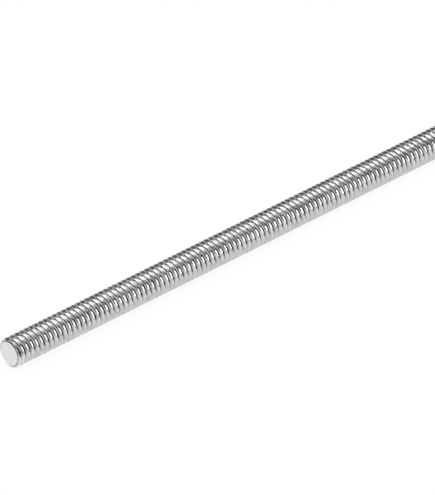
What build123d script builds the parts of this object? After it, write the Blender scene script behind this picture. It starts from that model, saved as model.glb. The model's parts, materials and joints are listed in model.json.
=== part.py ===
from build123d import *
import os

# Threaded rod, a cut length of quarter inch rod with twenty threads to the inch
#
# It lies along X. The middle of its near end face is the origin, and the rod runs from there along +X.
# The solid is the rod's outer form: its cylinder is the one that the crests of the thread lie on,
# and its chamfers are the ones that let a nut find the thread at either end.

# Driving dimensions, in millimetres
rod_length = 152.4  # from end face to end face, six inches
crest_diameter = 6.35  # over the crests of the thread
end_face_diameter = 5.4  # the flat that is left inside the chamfer
chamfer_length = 0.3  # along the axis, about a quarter of a turn of the thread

# The solid's file is named after its node
parts_folder = "parts"
rod_node = "threaded_rod"


def rod_half_section():
    """The half of the rod's lengthwise section that lies on the +Y side of its axis."""
    crest_radius = crest_diameter / 2
    end_face_radius = end_face_diameter / 2
    far_chamfer_start = rod_length - chamfer_length
    outline = Polyline(
        (0, 0),
        (0, end_face_radius),
        (chamfer_length, crest_radius),
        (far_chamfer_start, crest_radius),
        (rod_length, end_face_radius),
        (rod_length, 0),
        close=True,
    )
    return make_face(outline)


def threaded_rod():
    """The whole rod: its half section turned once round its own axis."""
    rod = revolve(rod_half_section(), axis=Axis.X)
    rod.label = rod_node
    return rod


os.makedirs(parts_folder, exist_ok=True)
export_step(threaded_rod(), os.path.join(parts_folder, rod_node + ".step"))
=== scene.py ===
import json
import math
import bpy
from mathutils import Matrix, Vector


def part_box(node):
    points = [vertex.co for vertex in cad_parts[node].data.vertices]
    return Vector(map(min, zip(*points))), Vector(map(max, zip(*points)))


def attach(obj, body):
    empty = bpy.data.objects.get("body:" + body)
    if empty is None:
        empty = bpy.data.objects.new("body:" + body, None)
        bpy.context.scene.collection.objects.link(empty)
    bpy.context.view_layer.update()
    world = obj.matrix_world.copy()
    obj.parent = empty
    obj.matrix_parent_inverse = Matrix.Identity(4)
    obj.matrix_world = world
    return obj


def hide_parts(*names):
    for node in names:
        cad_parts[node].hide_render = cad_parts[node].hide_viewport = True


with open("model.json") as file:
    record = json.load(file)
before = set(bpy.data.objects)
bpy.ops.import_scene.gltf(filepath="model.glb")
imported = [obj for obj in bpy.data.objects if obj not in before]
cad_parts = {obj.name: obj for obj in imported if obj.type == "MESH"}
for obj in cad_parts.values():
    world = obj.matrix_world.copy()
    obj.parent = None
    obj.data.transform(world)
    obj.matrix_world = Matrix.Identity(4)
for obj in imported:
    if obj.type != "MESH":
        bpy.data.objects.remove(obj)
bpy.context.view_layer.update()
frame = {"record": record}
rodNode = "threaded_rod"
rodLow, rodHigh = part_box(rodNode)
rodLength = rodHigh.x - rodLow.x
mm = 0.001
threadMount = next(mount for mount in frame["record"]["mounts"] if mount["name"] == "thread")
crestRadius = threadMount["dims"]["r_mm"] * mm
chamferLength = (rodLength - threadMount["dims"]["length_mm"] * mm) / 2
rodSizes = (round(rodLength / mm, 2), round(2 * crestRadius / mm, 2))
print("frame loaded: rod %s mm long, %s mm over the crests" % rodSizes)


class Wire:  # one output socket, so that sums on sockets are written as sums
    def __init__(self, bench, socket):
        self.bench = bench
        self.socket = socket

    def maths(self, operation, first, second=0.0, third=0.0):
        return self.bench.node("ShaderNodeMath", {"operation": operation}, {0: first, 1: second, 2: third})

    def __add__(self, other):
        return self.maths("ADD", self, other)

    def __radd__(self, other):
        return self.maths("ADD", other, self)

    def __sub__(self, other):
        return self.maths("SUBTRACT", self, other)

    def __rsub__(self, other):
        return self.maths("SUBTRACT", other, self)

    def __mul__(self, other):
        return self.maths("MULTIPLY", self, other)

    def __rmul__(self, other):
        return self.maths("MULTIPLY", other, self)

    def __truediv__(self, other):
        return self.maths("DIVIDE", self, other)

    def __rtruediv__(self, other):
        return self.maths("DIVIDE", other, self)

    def __lt__(self, other):
        return self.maths("LESS_THAN", self, other)

    def __gt__(self, other):
        return self.maths("GREATER_THAN", self, other)


class NodeBench:  # a node tree, and the one way that a node gets into it
    def __init__(self, tree):
        self.tree = tree

    def node(self, nodeType, settings=None, sockets=None, output=0):
        made = self.tree.nodes.new(nodeType)
        for name, value in (settings or {}).items():
            setattr(made, name, value)
        for name, value in (sockets or {}).items():
            self.plug(made.inputs[name], value)
        return Wire(self, made.outputs[output]) if made.outputs else made

    def plug(self, socket, value):
        for one in value if isinstance(value, list) else [value]:
            if isinstance(one, Wire):
                self.tree.links.new(one.socket, socket)
            else:
                socket.default_value = one

    def other(self, wire, output):  # another output of the node that a wire comes from
        return Wire(self, wire.socket.node.outputs[output])

    def tint(self, factor, first, second):  # from one colour to the other
        return self.node("ShaderNodeMix", {"data_type": "RGBA"}, {0: factor, 6: first, 7: second}, output=2)

    def within(self, value, low, high):  # 0 at low, 1 at high, eased between
        sockets = {"Value": value, "From Min": low, "From Max": high}
        return self.node("ShaderNodeMapRange", {"interpolation_type": "SMOOTHSTEP"}, sockets)


def newMaterial(name):
    material = bpy.data.materials.new(name)
    material.use_nodes = True
    material.node_tree.nodes.clear()
    return material, NodeBench(material.node_tree)


# Thread: one tree rolls it along the rod's axis and cuts both ends

thread = {
    "pitch": 1.27 * mm,
    "startTurn": 0.86,  # where in its turn the thread meets the near end
    "flankAngle": 60,  # degrees between two flanks
    "rootRadius": 2.40 * mm,
    "pitchLineRadius": 2.94 * mm,  # where ridge and groove are equally wide
    "crestSoftness": 0.06 * mm,
    "rootSoftness": 0.08 * mm,
    "crestCrown": 0.014 * mm,  # how far the crest falls from its middle to its corners
    "seamDepth": 0.015 * mm,  # rolling leaves a shallow seam along the middle of the crest
    "seamHalf": 0.05,  # half of the seam's width, in pitches
    "rootPoints": (0, 0.045),  # where the mesh has points, in pitches from the middle of the root
    "cornerPoints": (-0.020, -0.007, 0.007, 0.022),  # and in pitches from the corner of the crest
    "stepsPerTurn": 54,
    "turnsOver": 2,  # whole turns past each end, cut off later
    "weldReach": 0.001 * mm,  # closer points become one
    "endFaceRadius": 2.70 * mm,
    "cutterReach": 1.05,  # how long the end cutters are, in rods
    "roundSides": 96,
    "endFacing": 0.99,  # a face that looks along the rod more than this is one of its ends
    "sharpAngle": 31,  # degrees, edges folded more than this stay crisp
}
flankRise = 1 / math.tan(math.radians(thread["flankAngle"] / 2))
cornerRise = crestRadius - thread["pitchLineRadius"]
crestCorner = 0.25 + cornerRise / (flankRise * thread["pitch"])  # in pitches from the middle of the root
profilePoints = thread["rootPoints"] + tuple(crestCorner + step for step in thread["cornerPoints"])
profilePoints = profilePoints + (0.5 - thread["seamHalf"], 0.5)


def threadProfile(bench, sizes, row):  # each row's radius, and how many turns along the rod it lies
    half = row.maths("PINGPONG", row, sizes["Points Per Turn"] / 2)
    share = 0.0  # becomes 0 in the root and 0.5 on the crest
    for step, (near, far) in enumerate(zip(profilePoints, profilePoints[1:])):
        share = share + bench.node("ShaderNodeMapRange", {}, {
            "Value": half,
            "From Min": step,
            "From Max": step + 1,
            "To Max": far - near,
        })
    flank = (share - 0.25) * sizes["Pitch"] * flankRise + sizes["Pitch Line Radius"]
    overRoot = flank.maths("SMOOTH_MAX", flank, sizes["Root Radius"], sizes["Root Softness"])
    away = (0.5 - share) / (0.5 - crestCorner)  # 0 in the middle of the crest, 1 at its corner
    seam = bench.node("ShaderNodeMapRange", {}, {
        "Value": share,
        "From Min": 0.5 - thread["seamHalf"],
        "From Max": 0.5,
    })
    crest = sizes["Crest Radius"] - away * away * sizes["Crest Crown"] - seam * sizes["Seam Depth"]
    radius = flank.maths("SMOOTH_MIN", overRoot, crest, sizes["Crest Softness"])
    turns = row.maths("FLOOR", row / sizes["Points Per Turn"])
    past = row / sizes["Points Per Turn"] - turns
    rising = past < 0.499  # up to the crest, which is at half a turn
    return radius, turns + rising * share + (1 - rising) * (1 - share)


def rolledThread(bench, sizes):  # a sheet of points wrapped round the axis, each row along the helix
    turns = sizes["Rod Length"] / sizes["Pitch"] + 2 * thread["turnsOver"]
    lastRow = turns.maths("ROUND", turns) * sizes["Points Per Turn"]
    lastColumn = sizes["Steps Per Turn"]
    rowCount = lastRow + 3  # from 0 to the last, and one more on either side to close the ends
    columnCount = lastColumn + 3
    sheet = bench.node("GeometryNodeMeshGrid", {}, {"Vertices X": columnCount, "Vertices Y": rowCount})
    index = bench.node("GeometryNodeInputIndex")
    columnPlace = index.maths("FLOOR", (index + 0.5) / rowCount)
    row = index - columnPlace * rowCount - 1
    column = columnPlace - 1
    radius, turn = threadProfile(bench, sizes, row)
    shift = thread["turnsOver"] + sizes["Start Turn"]
    along = (turn + column / lastColumn - shift) * sizes["Pitch"]
    # Rows and columns are whole numbers, so they are compared half a step off
    first = row.maths("MAXIMUM", row < -0.5, column < -0.5)  # the points that close the near end
    last = row.maths("MAXIMUM", row > lastRow + 0.5, column > lastColumn + 0.5)  # and the far end
    side = 1 - first.maths("MAXIMUM", first, last)
    tip = (0.5 - shift + last * turns) * sizes["Pitch"]  # they meet on the axis
    angle = column / lastColumn * (2 * math.pi)
    sheet = bench.node("GeometryNodeSetPosition", {}, {
        "Geometry": sheet,
        "Position": bench.node("ShaderNodeCombineXYZ", {}, {
            "X": along * side + tip * (1 - side),
            "Y": radius * side * angle.maths("COSINE", angle),
            "Z": radius * side * angle.maths("SINE", angle),
        }),
    })
    # The columns on either side are needed for one turn only, elsewhere the sheet meets itself
    beside = (column < -0.5) * (row > sizes["Points Per Turn"] + 0.5)
    beyond = (column > lastColumn + 0.5) * (row < lastRow - sizes["Points Per Turn"] - 0.5)
    sheet = bench.node("GeometryNodeDeleteGeometry", {"domain": "POINT"}, {
        "Geometry": sheet,
        "Selection": (beside + beyond) > 0.5,
    })
    return bench.node("GeometryNodeMergeByDistance", {}, {
        "Geometry": sheet,
        "Distance": thread["weldReach"],
    })


def endCutter(bench, sizes, farEnd):  # a long cone, its small end on an end face, its side on the chamfer
    slope = (sizes["Crest Radius"] - sizes["End Face Radius"]) / sizes["Chamfer Length"]
    depth = sizes["Rod Length"] * thread["cutterReach"]
    cone = bench.node("GeometryNodeMeshCone", {}, {
        "Vertices": sizes["Round Sides"],
        "Radius Bottom": sizes["End Face Radius"],
        "Radius Top": sizes["End Face Radius"] + slope * depth,
        "Depth": depth,
    })
    end = bench.node("ShaderNodeCombineXYZ", {}, {"X": sizes["Rod Length"] if farEnd else 0.0})
    return bench.node("GeometryNodeTransform", {}, {
        "Geometry": cone,
        "Translation": end,
        "Rotation": (0, math.radians(-90 if farEnd else 90), 0),
    })


def threadTree():
    tree = bpy.data.node_groups.new("rolledThreadTree", "GeometryNodeTree")
    inputs = {
        "Rod Length": ("NodeSocketFloat", rodLength),
        "Crest Radius": ("NodeSocketFloat", crestRadius),
        "Pitch": ("NodeSocketFloat", thread["pitch"]),
        "Start Turn": ("NodeSocketFloat", thread["startTurn"]),
        "Pitch Line Radius": ("NodeSocketFloat", thread["pitchLineRadius"]),
        "Root Radius": ("NodeSocketFloat", thread["rootRadius"]),
        "Crest Softness": ("NodeSocketFloat", thread["crestSoftness"]),
        "Root Softness": ("NodeSocketFloat", thread["rootSoftness"]),
        "Crest Crown": ("NodeSocketFloat", thread["crestCrown"]),
        "Seam Depth": ("NodeSocketFloat", thread["seamDepth"]),
        "End Face Radius": ("NodeSocketFloat", thread["endFaceRadius"]),
        "Chamfer Length": ("NodeSocketFloat", chamferLength),
        "Points Per Turn": ("NodeSocketInt", 2 * len(profilePoints) - 2),
        "Steps Per Turn": ("NodeSocketInt", thread["stepsPerTurn"]),
        "Round Sides": ("NodeSocketInt", thread["roundSides"]),
        "Finish": ("NodeSocketMaterial", None),
    }
    for name, (kind, value) in inputs.items():
        tree.interface.new_socket(name, in_out="INPUT", socket_type=kind)
    tree.interface.new_socket("Geometry", in_out="OUTPUT", socket_type="NodeSocketGeometry")
    bench = NodeBench(tree)
    firstInput = bench.node("NodeGroupInput")
    sizes = {name: bench.other(firstInput, name) for name in inputs}
    cutters = [endCutter(bench, sizes, False), endCutter(bench, sizes, True)]
    rod = bench.node("GeometryNodeMeshBoolean", {"operation": "INTERSECT", "solver": "MANIFOLD"}, {
        "Mesh 2": [rolledThread(bench, sizes)] + cutters,
    })
    fold = bench.node("GeometryNodeInputMeshEdgeAngle")
    facing = bench.node("ShaderNodeSeparateXYZ", {}, {"Vector": bench.node("GeometryNodeInputNormal")})
    rod = bench.node("GeometryNodeSetShadeSmooth", {"domain": "FACE"}, {
        "Geometry": rod,
        "Shade Smooth": facing.maths("ABSOLUTE", facing) < thread["endFacing"],  # the end faces stay flat
    })
    rod = bench.node("GeometryNodeSetShadeSmooth", {"domain": "EDGE"}, {
        "Geometry": rod,
        "Selection": fold > math.radians(thread["sharpAngle"]),
        "Shade Smooth": False,
    })
    rod = bench.node("GeometryNodeRealizeInstances", {}, {"Geometry": rod})
    rod = bench.node("GeometryNodeSetMaterial", {}, {"Geometry": rod, "Material": sizes["Finish"]})
    bench.node("NodeGroupOutput", {}, {"Geometry": rod})
    return tree, {name: value for name, (kind, value) in inputs.items()}


def makeRod(finish):
    tree, values = threadTree()
    values["Finish"] = finish
    blank = bpy.data.objects.new("threadMaker", bpy.data.meshes.new("threadMaker"))
    bpy.context.collection.objects.link(blank)
    modifier = blank.modifiers.new("rolledThread", "NODES")
    modifier.node_group = tree
    for item in tree.interface.items_tree:
        if item.in_out == "INPUT":
            modifier[item.identifier] = values[item.name]
    blank.update_tag()
    evaluated = blank.evaluated_get(bpy.context.evaluated_depsgraph_get())
    mesh = bpy.data.meshes.new_from_object(evaluated)
    mesh.name = "threadedRodVisual"
    bpy.data.objects.remove(blank)
    rod = bpy.data.objects.new("threadedRodVisual", mesh)
    bpy.context.collection.objects.link(rod)
    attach(rod, "root")
    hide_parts(rodNode)
    return rod


# Finish: zinc plate on a rolled thread, bare cut ends

plate = {
    "zinc": (0.72, 0.72, 0.73, 1),
    "dullZinc": (0.60, 0.60, 0.61, 1),
    # painted shade for the thread's roots
    "paintedRootShade": (0.075, 0.072, 0.070, 1),
    "cutSteel": (0.86, 0.855, 0.86, 1),
    "cutShade": (0.64, 0.635, 0.64, 1),
    # painted shade for the chamfer's inner edge and the end face's rim
    "rimShade": (0.16, 0.155, 0.15, 1),
    "noiseShift": (0.37, 0.71, 0.23),  # metres, keeps the end faces off the noise's own grid
    "patches": (1.6 * mm, 4.0),  # size and detail, for each noise
    "grain": (0.09 * mm, 3.0),
    "sawn": (0.16 * mm, 3.0),
    "dents": (1.1 * mm, 2.0),
    "dullPatches": (0.4, 0.7),  # each pair of limits runs from none to all
    "rootShadeSides": (-0.13, 0.15),  # painted shade lies in the roots of the side that looks up
    "rootShadeClearTop": (0.72, 0.90),  # but the very top is left almost without it
    "rootShadeDepth": (0.52, 0.66),  # in depths of the groove
    "rootShadeRagged": 0.3,  # how far the patches move the painted shade's edge
    "rootShadeCover": 0.95,
    "rootShadeClearCover": 0.9,
    "chamferShadeEdge": (0.12 * mm, 0.03 * mm),  # painted shade darkens the sharp inner edge of the chamfer
    "chamferShadeCover": 0.8,
    "shadedCut": (0.35, 0.7),
    "rimWidth": 0.16 * mm,
    "rimPatches": (0.2, 0.45),
    "endReach": 0.02 * mm,  # what lies closer to an end than this is its face
    "roughness": 0.10,
    "patchRoughness": 0.14,
    "grainRoughness": 0.05,
    "rootShadeRoughness": 0.3,
    "cutRoughness": 0.04,
    "dentDepth": 0.08 * mm,
    "dentFade": 0.3 * mm,  # the dents fade out towards the ends
    "grainStrength": 0.12,
    "grainDepth": 0.01 * mm,
}


def platedSteel():
    material, bench = newMaterial("platedSteel")
    place = bench.node("ShaderNodeTexCoord", output="Object")
    shifted = bench.node("ShaderNodeVectorMath", {"operation": "ADD"}, {0: place, 1: plate["noiseShift"]})
    patches, grain, sawn, dents = [
        bench.node("ShaderNodeTexNoise", {}, {"Vector": shifted, "Scale": 1 / size, "Detail": detail})
        for size, detail in (plate["patches"], plate["grain"], plate["sawn"], plate["dents"])
    ]
    along = bench.node("ShaderNodeSeparateXYZ", {}, {"Vector": place})
    sideways = bench.other(along, "Y")
    upward = bench.other(along, "Z")
    squared = sideways * sideways + upward * upward
    radius = squared.maths("SQRT", squared)
    depth = (crestRadius - radius) / (crestRadius - thread["rootRadius"])  # 0 on the crests, 1 in the roots
    toEnd = along.maths("MINIMUM", along - rodLow.x, rodHigh.x - along)
    endFace = toEnd < plate["endReach"]
    colour = bench.tint(bench.within(patches, *plate["dullPatches"]), plate["zinc"], plate["dullZinc"])
    # Painted shade: the roots darken on the half that looks up, hardly on the very top, and more the deeper
    # they lie in the groove
    facingUp = upward / radius
    shadedSides = bench.within(facingUp, *plate["rootShadeSides"])
    clearTop = bench.within(facingUp, *plate["rootShadeClearTop"])
    rootShading = bench.within(depth + (patches - 0.5) * plate["rootShadeRagged"], *plate["rootShadeDepth"])
    rootShading = rootShading * shadedSides * (plate["rootShadeCover"] - clearTop * plate["rootShadeClearCover"]) * (1 - endFace)
    colour = bench.tint(rootShading, colour, plate["paintedRootShade"])
    # Painted shade: a dark band along the chamfer's inner edge and, broken by the patches, round the end
    # face's rim
    chamferShade = bench.within(toEnd, *plate["chamferShadeEdge"])
    colour = bench.tint(chamferShade * plate["chamferShadeCover"], colour, plate["rimShade"])
    cut = bench.tint(bench.within(sawn, *plate["shadedCut"]), plate["cutSteel"], plate["cutShade"])
    rimShade = bench.within(radius, thread["endFaceRadius"] - plate["rimWidth"], thread["endFaceRadius"])
    cut = bench.tint(rimShade * bench.within(patches, *plate["rimPatches"]), cut, plate["rimShade"])
    colour = bench.tint(endFace, colour, cut)
    roughness = plate["roughness"] + patches * plate["patchRoughness"] + grain * plate["grainRoughness"]
    roughness = roughness + rootShading * plate["rootShadeRoughness"] + endFace * plate["cutRoughness"]
    bump = bench.node("ShaderNodeBump", {}, {
        "Height": dents * bench.within(toEnd, 0.0, plate["dentFade"]),
        "Strength": 1.0,
        "Distance": plate["dentDepth"],
    })
    bump = bench.node("ShaderNodeBump", {}, {
        "Height": grain,
        "Strength": plate["grainStrength"],
        "Distance": plate["grainDepth"],
        "Normal": bump,
    })
    shader = bench.node("ShaderNodeBsdfPrincipled", {}, {
        "Base Color": colour,
        "Metallic": 1.0,
        "Roughness": roughness,
        "Normal": bump,
    })
    bench.node("ShaderNodeOutputMaterial", {}, {"Surface": shader})
    return material


# Studio: white floor, white surround, one softbox and the cards that the bright metal mirrors

studio = {
    "floorReach": 6.0,
    "floorColour": (0.9, 0.9, 0.9, 1),
    "floorGlow": 0.92,  # share of the floor's white that no shadow reaches
    "cards": {  # middle, half of one side, half of the other side, brightness
        "topPanel": ((1.04, 2.62, 1.30), (1.40, 0, 0), (0, 2.58, 0), 2.10),
        "ceilingShade": ((3.36, 3.71, 1.28), (2.64, 0, 0), (0, 2.66, 0), 0.15),
        "gapCard": ((2.82, -0.60, 1.20), (2.00, 0, 0), (0, 0.52, 0), 0.02),
        "frontPanel": ((2.50, -1.40, 0.85), (1.52, 0, 0), (0, 0, 0.71), 2.60),
        "skirting": ((2.50, -1.40, 0.07), (1.52, 0, 0), (0, 0, 0.07), 0.50),
        "farWall": ((2.60, 1.20, 0.60), (0, 2.40, 0), (0, 0, 0.60), 0.18),
        "backWall": ((0.40, 1.20, 0.14), (3.00, 0, 0), (0, 0, 0.14), 0.14),
        "nearWall": ((-0.80, 0, 2.00), (0, 4.00, 0), (0, 0, 2.00), 0.08),
        "nearStrip": ((-0.78, 0.24, 0.40), (0, 0.14, 0), (0, 0, 0.40), 0.32),
        "nearPanel": ((-0.78, 0.71, 0.40), (0, 0.10, 0), (0, 0, 0.40), 0.70),
        "nearFloor": ((-0.2055, -0.152, -0.0030), (0.1945, 0, 0), (0, 0.148, 0), 0.12),
        "floorCard": ((0.85, -0.303, -0.0030), (0.849, 0, 0), (0, 0.297, 0), 1.00),
        # painted shadow: a grey card under the rod stands for its contact shadow in the floor that the
        # metal mirrors
        "underShadowCard": ((0.85, 0.007, -0.0030), (0.849, 0, 0), (0, 0.013, 0), 0.80),
        "horizonStrip": ((0.20, -0.038, -0.0029), (1.50, 0, 0), (0, 0.014, 0), 0.15),
    },
    "softbox": (0.60, 0.80),  # size, height over the rod
    "softboxPower": 2.0,
}


def seesBackground(bench):  # 1 for rays from the camera and for mirrored and refracted ones
    path = bench.node("ShaderNodeLightPath", output="Is Camera Ray")
    seen = path + bench.other(path, "Is Glossy Ray") + bench.other(path, "Is Transmission Ray")
    return seen.maths("MINIMUM", seen, 1.0)


def makeSheet(name, corners, material):
    mesh = bpy.data.meshes.new(name)
    mesh.from_pydata(corners, [], [(0, 1, 2, 3)])
    mesh.materials.append(material)
    sheet = bpy.data.objects.new(name, mesh)
    bpy.context.collection.objects.link(sheet)
    return sheet


def makeFloor():
    material, bench = newMaterial("paleFloor")
    matt = bench.node("ShaderNodeBsdfDiffuse", {}, {"Color": studio["floorColour"]})
    glow = bench.node("ShaderNodeEmission", {}, {"Color": (1, 1, 1, 1), "Strength": 1.0})
    glowShare = seesBackground(bench) * studio["floorGlow"]
    mixed = bench.node("ShaderNodeMixShader", {}, {0: glowShare, 1: matt, 2: glow})
    bench.node("ShaderNodeOutputMaterial", {}, {"Surface": mixed})
    reach = studio["floorReach"]
    corners = [(-reach, -reach), (reach, -reach), (reach, reach), (-reach, reach)]
    floor = makeSheet("paleFloor", [(x, y, rodLow.z) for x, y in corners], material)


def makeCard(name, corners, brightness):  # only the metal sees it
    material, bench = newMaterial(name)
    glow = bench.node("ShaderNodeEmission", {}, {"Color": (1, 1, 1, 1), "Strength": brightness})
    bench.node("ShaderNodeOutputMaterial", {}, {"Surface": glow})
    card = makeSheet(name, corners, material)
    card.visible_camera = False
    card.visible_shadow = False
    card.visible_diffuse = False


def makeCards():
    for name, (middle, side, otherSide, brightness) in studio["cards"].items():
        middle, side, otherSide = Vector(middle), Vector(side), Vector(otherSide)
        corners = [middle - side - otherSide, middle + side - otherSide]
        corners += [middle + side + otherSide, middle - side + otherSide]
        makeCard(name, corners, brightness)


def makeLights():
    world = bpy.data.worlds.new("whiteSurround")
    bpy.context.scene.world = world
    world.use_nodes = True
    world.node_tree.nodes.clear()
    bench = NodeBench(world.node_tree)
    surround = bench.node("ShaderNodeBackground", {}, {"Color": (1, 1, 1, 1), "Strength": 1.0})
    bench.node("ShaderNodeOutputWorld", {}, {"Surface": surround})
    size, height = studio["softbox"]
    lamp = bpy.data.lights.new("softbox", "AREA")
    lamp.size = size
    lamp.energy = studio["softboxPower"]
    softbox = bpy.data.objects.new("softbox", lamp)
    softbox.location = (rodLength / 2, 0, height)
    softbox.visible_glossy = False  # the panels stand for it in the metal
    bpy.context.collection.objects.link(softbox)


# Camera: from beside the near end, looking down along the rod

shot = {
    "azimuth": -43.26,  # degrees round from the front, negative towards the near end
    "elevation": 31.77,
    "distance": 1.645,
    "lens": 585.3,
    "sensor": 36.0,
    "aimAlong": 57.38 * mm,  # from the near end
    "aimLift": 0.58 * mm,  # up in the picture
}


def makeCamera():
    turn = math.radians(shot["azimuth"])
    rise = math.radians(shot["elevation"])
    back = Vector((math.sin(turn) * math.cos(rise), -math.cos(turn) * math.cos(rise), math.sin(rise)))
    right = Vector((0, 0, 1)).cross(back).normalized()
    aim = Vector((rodLow.x + shot["aimAlong"], 0, 0)) + back.cross(right) * shot["aimLift"]
    data = bpy.data.cameras.new("camera")
    data.lens = shot["lens"]
    data.sensor_width = shot["sensor"]
    camera = bpy.data.objects.new("camera", data)
    camera.location = aim + back * shot["distance"]
    camera.rotation_euler = (-back).to_track_quat("-Z", "Y").to_euler()
    bpy.context.collection.objects.link(camera)
    bpy.context.scene.camera = camera


rod = makeRod(platedSteel())
triangles = sum(len(face.vertices) - 2 for face in rod.data.polygons)
print("rod rolled:", len(rod.data.vertices), "points,", triangles, "triangles")
makeFloor()
makeCards()
makeLights()
makeCamera()
bpy.context.scene.view_settings.view_transform = "Standard"
print("studio set")
